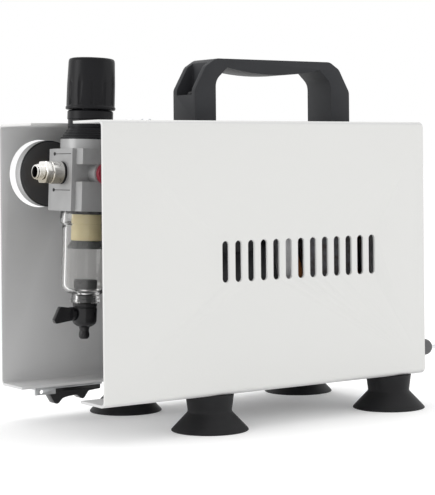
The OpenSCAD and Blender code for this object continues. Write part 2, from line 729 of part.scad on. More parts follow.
// Disc above the diaphragm, held to the rod by its own screw.
module diaphragm_clamp() color("silver") in_pump() {
  translate([0, 0, case_top]) rod_z(12, dia_t + eps);
  translate([0, 0, valve_z]) rod_z(clamp_r, 2.4);
  translate([0, 0, valve_z + 2.4 - eps]) cylinder(r1 = 4.2, r2 = 3.4, h = 1.6);
  translate([0, 0, case_top - 6]) rod_z(2.5, 6 + eps);
}

ecc_z = axis_z + throw;

module connecting_rod() color("silver") in_pump() difference() {
  union() {
    translate([-4, 0, ecc_z]) rod_x(rod_ring_r, 8);
    translate([-4, -7, ecc_z + rod_ring_r - 3]) cube([8, 14, case_top - ecc_z - rod_ring_r]);
    translate([0, 0, case_top - 4]) rod_z(clamp_r, 4);
  }
  translate([-5, 0, ecc_z]) rod_x(rod_bearing_r, 10);
  translate([0, 0, case_top - 7]) rod_z(2.5, 9);
}

module rod_bearing() color("silver") in_pump() difference() {
  translate([-4, 0, ecc_z]) rod_x(rod_bearing_r, 8);
  translate([-5, 0, ecc_z]) rod_x(ecc_r + run_gap, 10);
}

module eccentric() color("dimgray") in_pump() difference() {
  union() {
    translate([-4.6, 0, ecc_z]) rod_x(ecc_r, 9.6);
    // counterweight opposite the throw
    translate([5, 0, axis_z]) intersection() {
      rod_x(26, 7);
      translate([-1, -27, -27]) cube([10, 54, 36]);
    }
  }
  translate([-6, 0, axis_z]) rod_x(shaft_r, 30);
}

module crankcase() color([0.14, 0.14, 0.15]) in_pump() difference() {
  union() {
    translate([-13, 0, axis_z]) rod_x(38, case_l);
    translate([-17, 0, axis_z]) rod_x(24, 5);
    translate([-30, -30, case_top - 12]) cube([60, 60, 12]);
    translate([-13, -30, axis_z]) cube([32, 60, case_top - axis_z]);
    translate([-13, -40, leg_z]) cube([20, 80, leg_t]);
    for (s = [-1, 1]) translate([-13, s * 30 - 4, leg_z]) cube([20, 8, 30]);
  }
  translate([-9, 0, axis_z]) rod_x(31, case_l - 8);
  translate([case_l - 18, 0, axis_z]) rod_x(8, 8);
  translate([0, 0, axis_z]) rod_z(22, 60);
  translate([0, 0, case_top - 20]) at_corners(head_bolt) rod_z(bolt_r, 40);
  translate([0, 0, leg_z - 1]) {
    for (s = [-1, 1]) translate([-4, s * 30, 0]) rod_z(bolt_r, 6);
  }
}

// ---------- motor ----------

module shaft_bearings() color("silver") {
  for (x = [bell_a, bell_b]) translate([x + 0.5, 0, axis_z]) difference() {
    rod_x(bearing_r, bell_t - 1);
    translate([-1, 0, 0]) rod_x(shaft_r + run_gap, bell_t + 1);
  }
}

module motor_shaft() color("silver") {
  translate([rod_x - 6, 0, axis_z]) rod_x(shaft_r, bell_b + 24 - rod_x + 6);
}

module motor_rotor() color("dimgray") translate([stator_x - 2, 0, axis_z]) difference() {
  union() {
    rod_x(23.8, stator_l + 4);
    translate([-4, 0, 0]) rod_x(20, stator_l + 12);
  }
  translate([-6, 0, 0]) rod_x(shaft_r, stator_l + 20);
}

module lamination_square() {
  half = motor_w / 2;
  polygon(rounded([[-half, -half, 8], [half, -half, 8], [half, half, 8], [-half, half, 8]]));
}

module motor_stator() color("slategray") translate([stator_x, 0, axis_z]) along_x(stator_l) difference() {
  lamination_square();
  circle(r = 24.4);
  for (i = [0 : 11]) rotate(i * 30) translate([24, -2]) square([9, 4]);
  at_corners(bolt_pos) circle(r = hole_r);
}

module motor_windings() color("peru") {
  for (x = [stator_x - 12.02, stator_x + stator_l + 0.02])
    translate([x, 0, axis_z]) rotate([0, 90, 0]) rotate_extrude()
      polygon(rounded([[26, 0, 3], [37, 0, 3], [37, 12, 3], [26, 12, 3]]));
}

module bell(x, inward) {
  translate([x, 0, axis_z]) along_x(bell_t) difference() {
    lamination_square();
    circle(r = bearing_r);
    for (i = [0 : 3]) rotate(i * 90) translate([27, 0]) circle(r = 6);
    at_corners(bolt_pos) circle(r = bolt_r);
  }
  post_x = inward > 0 ? x + bell_t - eps : stator_x + stator_l;
  post_l = inward > 0 ? stator_x - x - bell_t + eps : x - stator_x - stator_l + eps;
  translate([post_x, 0, axis_z]) along_x(post_l) at_corners(bolt_pos) difference() {
    circle(r = 5.8);
    circle(r = bolt_r);
  }
}

// Two die-cast bells with the legs of the right-hand one and the four tie bolts' posts.
module motor_frame() color("silver") {
  bell(bell_a, 1);
  difference() {
    union() {
      bell(bell_b, -1);
      translate([bell_b - 6, -40, leg_z]) cube([bell_t + 6, 80, leg_t]);
      for (s = [-1, 1]) translate([bell_b, s * 30 - 4, leg_z]) cube([bell_t, 8, 12]);
    }
    for (s = [-1, 1]) translate([bell_b + 2, s * 30, leg_z - 1]) rod_z(bolt_r, 4);
  }
}

module cooling_fan() color([0.2, 0.22, 0.24]) translate([bell_b + bell_t + 3, 0, axis_z]) {
  difference() {
    union() {
      rod_x(11, 12);
      for (i = [0 : 6]) rotate([i * 360 / 7, 0, 0])
        translate([6, 0, 23]) rotate([0, 0, 32]) cube([1.6, 17, 30], center = true);
    }
    translate([-1, 0, 0]) rod_x(shaft_r, 14);
  }
}

// ---------- what is drawn ----------

casing();
end_plate();
panel_screws();
handle();
handle_screws();
handle_nuts();
foot_front_left();
foot_front_right();
foot_rear_left();
foot_rear_right();
foot_screws();
base_plate();
hook_plate();
hose_hook();
switch_body();
switch_nut();
switch_boot();
switch_lever();
cord_gland();
regulator_body();
regulator_bonnet();
adjusting_screw();
adjusting_knob();
range_spring();
spring_seat();
regulator_diaphragm();
regulator_poppet();
regulator_bracket();
port_plug();
outlet_seal();
outlet_nipple();
filter_element();
filter_baffle();
filter_bowl();
bowl_seal();
drain_body();
drain_lever();
gauge_stem();
gauge_case();
gauge_dial();
gauge_needle();
gauge_lens();
hose_fittings();
discharge_hose();
pump_head();
head_screws();
valve_plate();
pump_diaphragm();
diaphragm_clamp();
connecting_rod();
rod_bearing();
eccentric();
crankcase();
shaft_bearings();
motor_shaft();
motor_rotor();
motor_stator();
motor_windings();
motor_frame();
cooling_fan();
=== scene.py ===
import math

import bpy
from mathutils import Matrix, Vector


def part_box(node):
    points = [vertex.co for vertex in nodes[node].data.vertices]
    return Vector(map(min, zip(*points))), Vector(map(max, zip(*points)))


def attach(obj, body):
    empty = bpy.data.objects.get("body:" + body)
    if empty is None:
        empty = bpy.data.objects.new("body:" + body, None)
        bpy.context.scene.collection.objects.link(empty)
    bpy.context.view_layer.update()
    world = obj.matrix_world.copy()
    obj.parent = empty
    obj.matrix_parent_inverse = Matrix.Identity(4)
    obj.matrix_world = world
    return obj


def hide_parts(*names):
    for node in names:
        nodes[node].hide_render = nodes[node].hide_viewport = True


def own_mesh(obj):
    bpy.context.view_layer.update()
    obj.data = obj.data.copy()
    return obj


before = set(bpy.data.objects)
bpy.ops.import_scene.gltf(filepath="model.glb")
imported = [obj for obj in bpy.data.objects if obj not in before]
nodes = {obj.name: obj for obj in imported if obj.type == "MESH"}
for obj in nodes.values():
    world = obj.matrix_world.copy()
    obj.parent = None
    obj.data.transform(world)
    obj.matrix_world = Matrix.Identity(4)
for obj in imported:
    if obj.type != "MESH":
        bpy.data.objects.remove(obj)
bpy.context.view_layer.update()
mm = 0.001

# ---------------------------------------------------------------- camera and studio
# The camera stands level with the regulator's outlet, off the open end, and the front panel
# runs away from it to the right. Three soft lamps shine from the open end's side, the front
# and above, in a white room.

casing_low, casing_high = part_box("casing")
middle = (casing_low + casing_high) / 2


def deselect():
    """Nothing selected and nothing open for editing, so that the next operator starts clean."""
    if bpy.context.object and bpy.context.object.mode != "OBJECT":
        bpy.ops.object.mode_set(mode="OBJECT")
    bpy.ops.object.select_all(action="DESELECT")


camera_turn = math.radians(35.147)
camera_roll = math.radians(-0.54)
camera_place = casing_low + Vector((-490.9, -814.9, 146.2)) * mm
away = Vector((math.sin(camera_turn), math.cos(camera_turn), 0))
level = Vector((math.cos(camera_turn), -math.sin(camera_turn), 0))
upright = Vector((0, 0, 1))
right = level * math.cos(camera_roll) + upright * math.sin(camera_roll)
up = upright * math.cos(camera_roll) - level * math.sin(camera_roll)

deselect()
bpy.ops.object.camera_add()
camera = bpy.context.object
camera.data.sensor_width = 36
camera.data.lens = 117
camera.data.shift_y = -0.1761
facing = Matrix((right, up, -away)).transposed().to_4x4()
camera.matrix_world = Matrix.Translation(camera_place) @ facing
bpy.context.scene.camera = camera


def softbox(place, width, height, power):
    """A rectangular lamp turned to the middle of the casing."""
    deselect()
    bpy.ops.object.light_add(type="AREA", location=place)
    lamp = bpy.context.object
    lamp.data.shape = "RECTANGLE"
    lamp.data.size, lamp.data.size_y = width, height
    lamp.data.energy = power
    lamp.rotation_euler = (middle - Vector(place)).to_track_quat("-Z", "Y").to_euler()


softbox((-1.7, 0.45, 0.6), 0.8, 0.9, 8.0)
softbox((1.3, -1.3, 0.6), 0.9, 0.7, 1.4)
softbox((0.2, 0.3, 1.7), 1.2, 1.0, 6.5)

world = bpy.data.worlds.new("studio")
world.use_nodes = True
world.node_tree.nodes["Background"].inputs["Strength"].default_value = 1.0
world.node_tree.nodes["Background"].inputs["Color"].default_value = (1, 1, 1, 1)
bpy.context.scene.world = world
bpy.context.scene.view_settings.view_transform = "Standard"

# ---------------------------------------------------------------- the casing
# One sheet of 1.6 mm steel, folded into a tunnel with a flange along each lower edge, and
# powder coated off-white. The edges of the sheet are rounded over by the coat. The end
# plate is coated the same way, and short zinc-plated screws hold it.


class Value:
    """A shader socket. Arithmetic on it adds Math nodes, so a pattern reads as an expression."""

    def __init__(self, tree, socket):
        self.tree, self.socket = tree, socket

    def math(self, operation, first, second=0.0):
        node = self.tree.nodes.new("ShaderNodeMath")
        node.operation = operation
        for slot, value in zip(node.inputs, (first, second)):
            plug(self.tree, slot, value)
        return Value(self.tree, node.outputs[0])

    def __add__(self, other):
        return self.math("ADD", self, other)

    def __radd__(self, other):
        return self.math("ADD", other, self)

    def __sub__(self, other):
        return self.math("SUBTRACT", self, other)

    def __rsub__(self, other):
        return self.math("SUBTRACT", other, self)

    def __mul__(self, other):
        return self.math("MULTIPLY", self, other)

    def sine(self):
        return self.math("SINE", self)


def plug(tree, slot, value):
    """Links a value to a socket, or sets a plain number or colour on it."""
    if isinstance(value, Value):
        tree.links.new(value.socket, slot)
    elif isinstance(value, tuple) and len(value) < len(slot.default_value):
        slot.default_value = (*value, 1)
    else:
        slot.default_value = value


class Finish:
    """A material: the fixed numbers of its shader, and the patterns that vary it."""

    def __init__(self, name, **fixed):
        self.material = bpy.data.materials.new(name)
        self.material.use_nodes = True
        self.tree = self.material.node_tree
        self.shader = self.tree.nodes["Principled BSDF"]
        self.set(**fixed)
        self.place = self.add("ShaderNodeTexCoord", output="Object")

    def set(self, **values):
        for key, value in values.items():
            plug(self.tree, self.shader.inputs[key.replace("_", " ")], value)
        return self

    def add(self, kind, settings=None, output=0, **sockets):
        """A node of that kind: its settings first, then the numbers and links of its sockets."""
        node = self.tree.nodes.new(kind)
        for key, value in (settings or {}).items():
            setattr(node, key, value)
        for key, value in sockets.items():
            plug(self.tree, node.inputs[key.replace("_", " ")], value)
        return Value(self.tree, node.outputs[output])

    def noise(self, grain, detail=2.0, place=None):
        """Cloudy noise with lumps about grain metres across."""
        where = place or self.place
        return self.add("ShaderNodeTexNoise", Vector=where, Scale=1 / grain, Detail=detail)

    def stretched(self, x, y, z):
        """The object's coordinates scaled along the axes, which draws a noise out into streaks."""
        return self.add("ShaderNodeMapping", Vector=self.place, Scale=(x, y, z))

    def axes(self):
        """X, Y and Z of the surface, in metres."""
        node = self.tree.nodes.new("ShaderNodeSeparateXYZ")
        plug(self.tree, node.inputs[0], self.place)
        return [Value(self.tree, node.outputs[i]) for i in range(3)]

    def band(self, value, low, high):
        """0 below low and 1 above high, smooth between them."""
        smooth = {"interpolation_type": "SMOOTHSTEP"}
        return self.add("ShaderNodeMapRange", smooth, Value=value, From_Min=low, From_Max=high)

    def blend(self, share, first, second):
        """A colour between two others."""
        node = self.tree.nodes.new("ShaderNodeMix")
        node.data_type = "RGBA"
        for index, value in ((0, share), (6, first), (7, second)):
            plug(self.tree, node.inputs[index], value)
        return Value(self.tree, node.outputs[2])

    def relief(self, height, depth):
        """Shades the surface as if it stood up by height times depth metres."""
        bump = self.add("ShaderNodeBump", Height=height, Distance=depth, Strength=1.0)
        return self.set(Normal=bump)


def tint(colour, factor):
    """The colour made lighter or darker."""
    return tuple(min(1.0, channel * factor) for channel in colour)


def powder_coat(name, colour):
    """Baked powder: a fine orange peel with a soft gloss, dusty in broad faint patches."""
    finish = Finish(name)
    peel = finish.noise(0.0011, 2)
    dust = finish.noise(0.045, 3)
    finish.set(Base_Color=finish.blend(dust, tint(colour, 0.965), tint(colour, 1.02)))
    finish.set(Roughness=0.34 + peel * 0.1 + dust * 0.06)
    return finish.relief(peel, 0.00004)


def coat(piece, finish):
    """Gives the whole piece one finish."""
    piece.data.materials.clear()
    piece.data.materials.append(finish.material)


def alone(piece, mode="OBJECT"):
    """The piece alone selected and active. In edit mode nothing of it is selected."""
    deselect()
    piece.select_set(True)
    bpy.context.view_layer.objects.active = piece
    if mode == "EDIT":
        bpy.ops.object.mode_set(mode="EDIT")
        bpy.ops.mesh.select_all(action="DESELECT")


rounded_above = math.radians(32)
creased_above = math.radians(34)
flat_below = math.radians(0.3)
same_point = 0.002 * mm


def ease(piece, width, segments=2):
    """Rounds the piece's sharp edges by width metres and smooths its shading."""
    alone(piece)
    if width:
        rounding = piece.modifiers.new("rounding", "BEVEL")
        rounding.width = width
        rounding.segments = segments
        rounding.limit_method = "ANGLE"
        rounding.angle_limit = rounded_above
        bpy.ops.object.modifier_apply(modifier=rounding.name)
    bpy.ops.object.shade_smooth_by_angle(angle=creased_above)


def fit(piece, finish, slot, *replaced, body="unit"):
    """A piece's last step: its finish, its body and the CAD nodes that it stands for. The slot is
    not used.
    """
    coat(piece, finish)
    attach(piece, body)
    if replaced:
        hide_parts(*replaced)


def dressed(node, finish, slot, width, body="unit", segments=2):
    """The CAD node's own shape, its triangles joined into faces and its edges rounded."""
    piece = bpy.data.objects.new(node + "_shell", nodes[node].data.copy())
    bpy.context.collection.objects.link(piece)
    alone(piece)
    bpy.ops.mesh.customdata_custom_splitnormals_clear()
    bpy.ops.object.mode_set(mode="EDIT")
    bpy.ops.mesh.select_all(action="SELECT")
    bpy.ops.mesh.remove_doubles(threshold=same_point)
    bpy.ops.mesh.dissolve_limited(angle_limit=flat_below)
    bpy.ops.object.mode_set(mode="OBJECT")
    ease(piece, width, segments)
    fit(piece, finish, slot, node, body=body)
    return piece


def metal(name, colour, roughness, grain=0.0008, streaks=(1, 1, 1), depth=0.00001, stain=0.75,
          metallic=1.0):
    """Bare or plated metal: fine streaks from its working, and faint stains."""
    finish = Finish(name, Metallic=metallic)
    streak = finish.noise(grain, 3, finish.stretched(*streaks))
    cloud = finish.noise(0.011, 3)
    finish.set(Base_Color=finish.blend(finish.band(cloud, 0.35, 0.8), colour, tint(colour, stain)))
    finish.set(Roughness=roughness - 0.05 + streak * 0.1 + cloud * 0.06)
    return finish.relief(streak, depth)


off_white = (0.67, 0.67, 0.655)
paint = powder_coat("powder_coat", off_white)
zinc = metal("zinc_plate", (0.66, 0.67, 0.69), 0.3)
coat_with_painted_shade = powder_coat("casing_coat", off_white)


def inward(value, face):
    """0 on the casing's outer face, and 1 once the value is well within the sheet."""
    return 1 - coat_with_painted_shade.band(value, face - 1.4 * mm, face - 0.2 * mm)


# Inside the tunnel the coat's colour is painted greyer, which is painted shade.
_, outward, height_up = coat_with_painted_shade.axes()
from_middle = outward.math("ABSOLUTE", outward)
inside = inward(from_middle, casing_high.y) * inward(height_up, casing_high.z)
# The grey inside the tunnel is painted shade.
coat_with_painted_shade.set(Base_Color=coat_with_painted_shade.blend(inside, off_white, (0.56, 0.56, 0.56)))
dressed("casing", coat_with_painted_shade, "white_paint", 0.3 * mm)
dressed("end_plate", paint, "white_paint", 0.3 * mm)
dressed("panel_screws", zinc, "zinc_screw", 0.12 * mm)

# The floor is matt white paper, far wider than the object, with a faint glow that keeps it pale.
deselect()
bpy.ops.mesh.primitive_plane_add(size=60)
floor = bpy.context.object
floor.name = "floor"
paper = Finish("paper", Base_Color=(0.93, 0.93, 0.93), Roughness=0.9, Emission_Color=(1, 1, 1),
               Emission_Strength=0.12)
paper.relief(paper.noise(0.003), 0.00002)
coat(floor, paper)

# ---------------------------------------------------------------- the handle
# A bridge handle moulded in charcoal nylon, with a fine spark-eroded grain. A deep pocket
# in each end takes a screw that runs through the casing's roof into a flanged nut.


def moulded(name, colour, roughness, grain=0.0004, depth=0.00002, worn=1.3, shine=0.5):
    """Moulded plastic or rubber: a fine grain, with slow changes of gloss and shade."""
    finish = Finish(name, Specular_IOR_Level=shine)
    fine = finish.noise(grain, 3)
    flow = finish.noise(0.018, 3)
    finish.set(Base_Color=finish.blend(flow, tint(colour, 0.75), tint(colour, worn)))
    finish.set(Roughness=roughness - 0.05 + fine * 0.08 + flow * 0.06)
    return finish.relief(fine, depth)


charcoal = moulded("charcoal_nylon", (0.021, 0.022, 0.025), 0.5, shine=0.28)
dressed("handle", charcoal, "handle_plastic", 1.1 * mm, segments=3)
oxide = metal("black_oxide", (0.03, 0.03, 0.032), 0.42, 0.0006, metallic=0.6)
dressed("handle_screws", oxide, "black_steel", 0.12 * mm)
dressed("handle_nuts", zinc, "zinc_screw", 0.2 * mm)

# ---------------------------------------------------------------- the feet
# Four suction cups of black rubber: a waisted stem on a flared cup with a thin lip, hollow
# underneath. A screw through the base plate and the casing's flange runs up each stem.


def narrow(factor):
    """Draws what is selected towards the Z axis, or away from it."""
    bpy.ops.transform.resize(value=(factor, factor, 1), center_override=(0, 0, 0))


def turned(name, outline, sides):
    """A shape turned on the Z axis from an outline of radii and heights in millimetres: a ring
    at its first point is extruded, moved and resized from point to point. A radius of 0 closes
    it, and an outline that ends where it starts makes a hollow wall."""
    deselect()
    points = [(radius * mm, height * mm) for radius, height in outline]
    hollow = outline[0] == outline[-1]
    radius, height = points[0]
    bpy.ops.mesh.primitive_circle_add(vertices=sides, radius=radius, location=(0, 0, height),
                                      fill_type="NOTHING" if hollow else "NGON")
    piece = bpy.context.object
    piece.name = name
    bpy.ops.object.transform_apply(location=True)
    bpy.ops.object.mode_set(mode="EDIT")
    bpy.ops.mesh.select_all(action="SELECT")
    for next_radius, next_height in points[1:]:
        rise = {"value": (0, 0, next_height - height)}
        bpy.ops.mesh.extrude_region_move(TRANSFORM_OT_translate=rise)
        if next_radius:
            narrow(next_radius / radius)
        else:
            bpy.ops.mesh.merge(type="CENTER")
        radius, height = next_radius, next_height
    bpy.ops.mesh.select_all(action="SELECT")
    bpy.ops.mesh.remove_doubles(threshold=same_point)
    bpy.ops.mesh.normals_make_consistent(inside=False)
    bpy.ops.object.mode_set(mode="OBJECT")
    return piece


def put(piece, matrix):
    """Moves and turns the piece by the matrix, and leaves the result in its mesh."""
    piece.matrix_world = matrix @ piece.matrix_world
    alone(piece)
    bpy.ops.object.transform_apply(location=True, rotation=True, scale=True)


def placed(piece, matrix, finish, slot, *replaced, body="unit"):
    """A modelled piece's last steps: it is moved by the matrix, shaded smooth and fitted."""
    put(piece, matrix)
    ease(piece, 0)
    fit(piece, finish, slot, *replaced, body=body)


rubber = moulded("black_rubber", (0.011, 0.011, 0.012), 0.52, 0.0006, 0.00003, shine=0.22)
foot_low, foot_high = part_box("foot_front_left")
foot_top = (foot_high.z - foot_low.z) / mm
lip = (foot_high.x - foot_low.x) / 2 / mm
foot_outline = [
    (0.4, 5), (6, 4.9), (13, 3.2), (20, 0.9), (lip - 1.6, 0), (lip - 0.3, 0), (lip, 0.2),
    (lip - 0.1, 0.7), (lip - 0.7, 1.4), (19.5, 5.8), (14.7, 10.8), (14.1, 11.7), (14, 12.6),
    (14.2, 14.2), (15.2, 21.6), (15.4, foot_top - 0.4), (15.1, foot_top)]
for corner in ("front_left", "front_right", "rear_left", "rear_right"):
    low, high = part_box("foot_" + corner)
    foot = turned("suction_foot_" + corner, foot_outline, 96)
    spot = Matrix.Translation(((low.x + high.x) / 2, (low.y + high.y) / 2, low.z))
    placed(foot, spot, rubber, "foot_rubber", "foot_" + corner)
dressed("foot_screws", zinc, "zinc_screw", 0.12 * mm)

# ---------------------------------------------------------------- base plate and hook
# The base plate is plain sheet steel, zinc plated, and carries the pump. A plated tab is
# spot welded under the rear flange, and a glossy black moulding hooks the hose up below it.

plate = metal("plated_steel", (0.58, 0.59, 0.60), 0.36, 0.0012, (1, 8, 8))
gloss = moulded("gloss_black", (0.007, 0.007, 0.008), 0.2, 0.002, 0.00001, shine=0.35)
dressed("base_plate", plate, "plated_steel", 0.3 * mm)
dressed("hook_plate", plate, "plated_steel", 0.2 * mm)
dressed("hose_hook", gloss, "black_plastic", 0.8 * mm, segments=3)

# ---------------------------------------------------------------- switch and cord gland
# A toggle switch in the end plate: a red moulded body inside, a chromed bat lever outside
# and a rubber dust boot over its thread. Beside it is the empty gland for the mains lead.

red = moulded("red_phenolic", (0.35, 0.03, 0.02), 0.35)
chrome = metal("chrome", (0.78, 0.79, 0.80), 0.12, 0.002, stain=0.9)
grey_rubber = moulded("grey_rubber", (0.09, 0.09, 0.092), 0.6, 0.0005, 0.00003)
matt_black = moulded("matt_black", (0.012, 0.012, 0.013), 0.42, 0.0005, 0.00002, shine=0.25)
dressed("switch_body", red, "switch_plastic", 0.25 * mm)
dressed("switch_nut", chrome, "zinc_screw", 0.2 * mm)
dressed("switch_boot", grey_rubber, "boot_rubber", 0.25 * mm)
dressed("switch_lever", chrome, "nickel", 0, body="toggle")
dressed("cord_gland", matt_black, "black_plastic", 0.2 * mm)

# ---------------------------------------------------------------- the regulator's body
# A pressure die casting in silver-grey enamel, waisted between its upper and lower block.
# Two small pins and engraved lines mark the port's face, and a folded bracket holds the
# whole regulator to the roof, leaning a little. A red plug closes the port at the front.

regulator_tilt = math.radians(2.5)
port_height = casing_low.z + 138.5 * mm
regulator_axis = casing_low.x + 29 * mm
regulator = Matrix.Translation((regulator_axis, 0, port_height))
regulator @= Matrix.Rotation(regulator_tilt, 4, "Y")
towards_outlet = Matrix.Rotation(math.radians(-90), 4, "Y")
port_face = 19.5

silver = metal("silver_enamel", (0.31, 0.31, 0.31), 0.34, 0.0007, metallic=0.3, stain=0.93)
galvanised = metal("bracket_steel", (0.6, 0.61, 0.62), 0.4, 0.001)
plug_red = moulded("plug_red", (0.22, 0.015, 0.03), 0.35)
dressed("regulator_body", silver, "cast_alloy", 0.55 * mm, segments=3)
dressed("regulator_bracket", galvanised, "plated_steel", 0.3 * mm)
dressed("port_plug", plug_red, "plug_red", 0.35 * mm)


def block(name, low, high, width):
    """A bevelled block between two corners. Its corners and the bevel are in millimetres."""
    low, high = Vector(low) * mm, Vector(high) * mm
    deselect()
    bpy.ops.mesh.primitive_cube_add(size=1, location=(low + high) / 2)
    piece = bpy.context.object
    piece.name = name
    piece.scale = high - low
    bpy.ops.object.transform_apply(location=True, rotation=True, scale=True)
    ease(piece, width * mm)
    return piece


def joined(name, *pieces):
    """Several shapes made one piece."""
    alone(pieces[0])
    for piece in pieces:
        piece.select_set(True)
    bpy.ops.object.join()
    pieces[0].name = name
    return pieces[0]


marks = []
for level in (11.9, -10.8):
    pin = turned("pin", [(1.1, 0), (1.1, 0.25), (0.7, 0.5), (0, 0.55)], 20)
    put(pin, Matrix.Translation(Vector((-port_face, 9.6, level)) * mm) @ towards_outlet)
    line = block("line", (-port_face - 0.06, -11, level - 0.2),
                 (-port_face + 0.1, 8.4, level + 0.2), 0.03)
    marks += [pin, line]
placed(joined("port_face_marks", *marks), regulator, matt_black, "black_plastic")

# ---------------------------------------------------------------- the outlet nipple
# Turned from brass bar and nickel plated: a plain collar against a thin rubber seal, a
# hexagon with broken corners, and a 1/8 inch pipe thread with a countersunk bore. The bore
# is painted near-black as painted shade, and the nickel is painted darker and browner
# towards the underside as painted shade and lighter on top as a painted highlight.

warm_white = (0.70, 0.67, 0.60)
nickel = metal("nickel_plate", warm_white, 0.16, 0.0006, (10, 1, 1), stain=0.8)
# This nickel carries painted shade in the bore and underside and a painted highlight on top.
nickel_painted_light = metal("nipple_plating", warm_white, 0.14, 0.0006, (10, 1, 1), stain=0.8)
out, aside, height = nickel_painted_light.axes()
lean = math.tan(regulator_tilt)
off_axis = (height + out * lean - (port_height + regulator_axis * lean)) * (1 / mm)
from_axis_squared = aside * aside * (1 / mm ** 2) + off_axis * off_axis
# 1 outside the bore and 0 inside it, where the near-black is painted shade.
plated = nickel_painted_light.band(from_axis_squared, 12.3, 13.2)
upper_side = nickel_painted_light.band(off_axis, -4.5, 3.5)
# Painted shade below, darker and browner, and a painted highlight on top.
painted_shade_to_highlight = nickel_painted_light.blend(upper_side, (0.34, 0.31, 0.25), (0.95, 0.94, 0.91))
nickel_painted_light.set(Base_Color=nickel_painted_light.blend(plated, (0.01, 0.01, 0.01), painted_shade_to_highlight))
seal = moulded("seal_rubber", (0.008, 0.008, 0.009), 0.5, shine=0.2)
dressed("outlet_seal", seal, "seal_rubber", 0.2 * mm)

seal_face = port_face + 1.2
collar_end = seal_face + 8
hex_end = collar_end + 5
nipple_end = hex_end + 5
inner_end = port_face - 6
thread_radius, thread_depth, thread_pitch = 4.86, 0.55, 0.907
threads = [(thread_radius - thread_depth * (step % 2), hex_end + 0.5 + step * thread_pitch / 2)
           for step in range(8)]
shank = turned("shank", [
    (2.4, inner_end), (4.7, inner_end), (4.8, seal_face), (6.7, seal_face), (7.15, seal_face + 0.5),
    (7.15, collar_end - 0.6), (6.6, collar_end), (5.0, collar_end), (4.6, hex_end), *threads,
    (4.5, nipple_end - 0.35), (4.15, nipple_end), (3.5, nipple_end), (2.4, nipple_end - 2.4),
    (2.4, inner_end)], 64)
hex_across_flats = 13.6
hex_middle = (0, 0, (collar_end + hex_end) / 2 * mm)
deselect()
bpy.ops.mesh.primitive_cylinder_add(vertices=6, radius=hex_across_flats * mm / math.sqrt(3),
                                    depth=(hex_end - collar_end) * mm, location=hex_middle)
hexagon = bpy.context.object
bpy.ops.object.transform_apply(location=True)
bpy.ops.object.mode_set(mode="EDIT")
bpy.ops.mesh.select_all(action="SELECT")
bpy.ops.mesh.bevel(offset=0.7 * mm, segments=3, affect="EDGES")
bpy.ops.object.mode_set(mode="OBJECT")
deselect()
bpy.ops.mesh.primitive_cylinder_add(vertices=48, radius=4 * mm, depth=20 * mm,
                                    location=hex_middle)
bore = bpy.context.object
alone(hexagon)
cut = hexagon.modifiers.new("bore", "BOOLEAN")
cut.object = bore
bpy.ops.object.modifier_apply(modifier=cut.name)
bpy.data.objects.remove(bore)
nipple = joined("outlet_thread", shank, hexagon)
placed(nipple, regulator @ towards_outlet, nickel_painted_light, "nickel", "outlet_nipple")

# ---------------------------------------------------------------- bonnet, knob and spring
# The bonnet is a black moulding with a stepped cone and a ribbed neck. The knob is pulled up
# to turn the brass screw, which carries a nut down on the range spring and the diaphragm.

satin_black = moulded("satin_black", (0.006, 0.006, 0.007), 0.34, 0.0005, 0.000015, worn=1.6,
                      shine=0.16)
bonnet_outline = [(11, 20.3), (18.2, 20.3), (18.4, 21.3)]
for step in range(5):
    step_foot = 21.3 + step * 1.54
    edge = 18.4 - step * 1.1
    bonnet_outline += [(edge, step_foot + 0.12), (edge - 0.25, step_foot + 1.3),
                       (edge - 1, step_foot + 1.5)]
bonnet_outline += [
    (14, 29), (14, 34), (14.5, 34.3), (14.5, 39.1), (14.2, 39.5), (13.8, 39.8), (5.1, 39.8),
    (5.1, 35), (11, 35), (11, 20.3)]
bonnet = turned("bonnet_cone", bonnet_outline, 96)
placed(bonnet, regulator, satin_black, "black_plastic", "regulator_bonnet")


def fluted(piece, sides, pitch, width, factor, chosen):
    """Presses grooves into a turned piece. Of every pitch columns of its points, width columns are
    drawn inwards, at the radii and heights that chosen picks in millimetres."""
    alone(piece, "EDIT")
    bpy.ops.object.mode_set(mode="OBJECT")
    for point in piece.data.vertices:
        turn = math.atan2(point.co.y, point.co.x) / (2 * math.pi)
        column = round(turn * sides) % pitch
        radius = math.hypot(point.co.x, point.co.y)
        point.select = column < width and chosen(radius / mm, point.co.z / mm)
    bpy.ops.object.mode_set(mode="EDIT")
    narrow(factor)
    bpy.ops.object.mode_set(mode="OBJECT")


knob_sides = 144
knob_foot = 40.4
flute_foot, flute_top = 3, 17
knob_outline = [
    (0.5, 4), (6.1, 4), (13.2, 4), (13.6, 0.2), (15.2, 0), (15.65, 0.25), (15.8, 0.7),
    (15.75, 1.7), (15.35, 2.1), (15.3, 2.6), (15.32, 3.2), (15.2, flute_top - 0.6),
    (15.15, flute_top + 0.6), (14.95, 23), (14.7, 30.2), (14.5, 31.4), (13.9, 32.2), (12.8, 32.55),
    (11.6, 32.6), (10.8, 32.35), (0, 32.3)]
knob = turned("pressure_knob", [(r, z + knob_foot) for r, z in knob_outline], knob_sides)
fluted(knob, knob_sides, 12, 3, 0.955,
       lambda r, z: r > 14.6 and flute_foot < z - knob_foot < flute_top)
placed(knob, regulator, satin_black, "knob_plastic", "adjusting_knob", body="knob")

brass = metal("brass", (0.72, 0.49, 0.19), 0.26, 0.0006)
dressed("adjusting_screw", oxide, "black_steel", 0.2 * mm, body="pressure_screw")
dressed("spring_seat", brass, "brass", 0.2 * mm, body="range_nut")
dressed("regulator_poppet", brass, "brass", 0.15 * mm, body="poppet")
dressed("regulator_diaphragm", rubber, "seal_rubber", 0.2 * mm)

